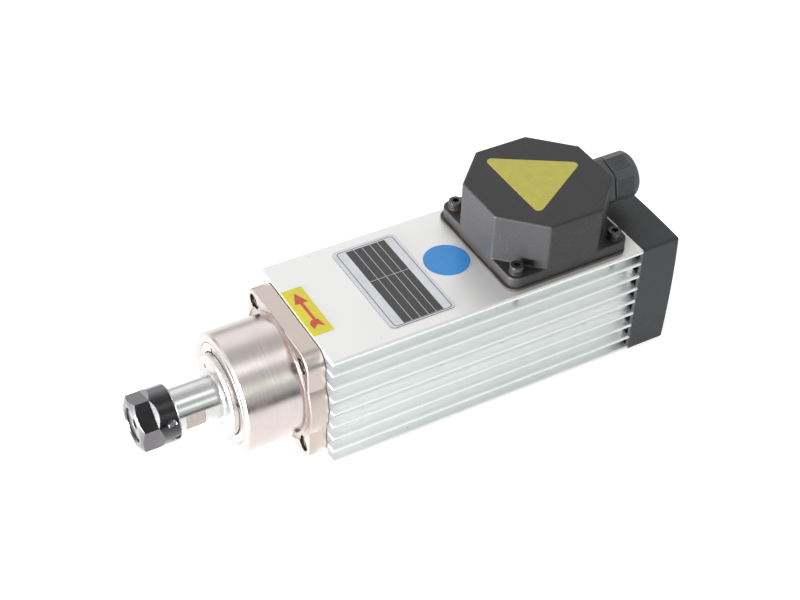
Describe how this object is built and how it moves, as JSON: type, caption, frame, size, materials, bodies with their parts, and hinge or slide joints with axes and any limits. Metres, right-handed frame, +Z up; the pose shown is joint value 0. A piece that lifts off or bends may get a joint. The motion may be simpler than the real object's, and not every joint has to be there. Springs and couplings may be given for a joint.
{
  "type": "motor spindle",
  "caption": "Air-cooled motor spindle: finned square body, flanged round nose, collet nut on a steel shaft, octagonal terminal box with cable gland, and a rear fan cover.",
  "frame": {"origin": "on the spindle axis, in the front face of the mounting flange", "axes": "+X along the spindle axis towards the rear cover, +Z up towards the terminal box, +Y to the left seen from behind the nose"},
  "size_m": [0.3467, 0.093, 0.1221],
  "materials": {
    "body_aluminium": "fine satin, clear anodised extrusion",
    "housing_steel": "turned and nickel plated",
    "gasket_rubber": "matte",
    "flange_screw_steel": "bright zinc",
    "lock_ring_steel": "fine turned",
    "shaft_steel": "ground and polished",
    "flinger_steel": "fine turned",
    "bearing_ring_steel": "ground",
    "ball_steel": "polished",
    "spacer_steel": "ground",
    "locknut_steel": "blackened",
    "collet_steel": "ground",
    "nut_black_oxide": "black oxide, worn on the flats",
    "lamination_steel": "stacked sheet",
    "winding_copper": "lacquered copper wire",
    "rotor_steel": "stacked sheet",
    "rotor_aluminium": "cast",
    "spring_steel": "tempered",
    "shield_aluminium": "cast and machined",
    "fan_plastic": "moulded",
    "clip_steel": "phosphated",
    "cover_plastic": "fine moulded grain",
    "cover_screw_steel": "black zinc",
    "box_plastic": "fine moulded grain",
    "box_screw_steel": "black oxide",
    "box_washer_steel": "black oxide, worn",
    "grommet_rubber": "matte",
    "block_plastic": "moulded phenolic",
    "stud_brass": "plain",
    "gland_plastic": "smooth nylon",
    "gland_rubber": "matte",
    "gland_nut_plastic": "smooth nylon",
    "plate_silver": "printed foil, bare",
    "arrow_label_yellow": "printed film",
    "label_blue": "printed film",
    "label_yellow": "printed film"
  },
  "bodies": {
    "stator_frame": {"motor_housing": "body_aluminium", "front_bearing_housing": "housing_steel", "front_gasket": "gasket_rubber", "flange_screws": "flange_screw_steel", "bearing_lock_ring": "lock_ring_steel", "front_bearing_outer_rings": "bearing_ring_steel", "outer_spacer": "spacer_steel", "stator_core": "lamination_steel", "stator_winding": "winding_copper", "rear_bearing_outer_ring": "bearing_ring_steel", "preload_spring": "spring_steel", "rear_end_shield": "shield_aluminium", "rear_cover": "cover_plastic", "rear_cover_screws": "cover_screw_steel", "terminal_box_gasket": "gasket_rubber", "terminal_box_cover": "box_plastic", "terminal_box_screws": "box_screw_steel", "terminal_box_washers": "box_washer_steel", "lead_grommet": "grommet_rubber", "terminal_block": "block_plastic", "terminal_studs": "stud_brass", "gland_body": "gland_plastic", "gland_seal": "gland_rubber", "gland_locknut": "gland_plastic", "rating_plate": "plate_silver", "direction_label": "arrow_label_yellow", "round_label": "label_blue", "lid_label": "label_yellow"},
    "spindle": {"spindle_shaft": "shaft_steel", "flinger": "flinger_steel", "front_bearing_inner_rings": "bearing_ring_steel", "front_bearing_balls": "ball_steel", "inner_spacer": "spacer_steel", "shaft_locknut": "locknut_steel", "collet": "collet_steel", "rotor_core": "rotor_steel", "rotor_end_rings": "rotor_aluminium", "rear_bearing_inner_ring": "bearing_ring_steel", "rear_bearing_balls": "ball_steel", "cooling_fan": "fan_plastic", "fan_clip": "clip_steel"},
    "clamp_nut": {"collet_nut": "nut_black_oxide"},
    "gland_cap": {"gland_nut": "gland_nut_plastic"}
  },
  "joints": [
    {"name": "spindle_spin", "type": "hinge", "parent": "stator_frame", "child": "spindle", "pos_m": [0, 0, 0], "axis": [1, 0, 0], "continuous": true},
    {"name": "collet_nut_turn", "type": "hinge", "parent": "spindle", "child": "clamp_nut", "pos_m": [-0.08, 0, 0], "axis": [1, 0, 0], "range_deg": [0, 720]},
    {"name": "gland_nut_turn", "type": "hinge", "parent": "stator_frame", "child": "gland_cap", "pos_m": [0.235, 0, 0.0633], "axis": [1, 0, 0], "range_deg": [0, 720]}
  ]
}
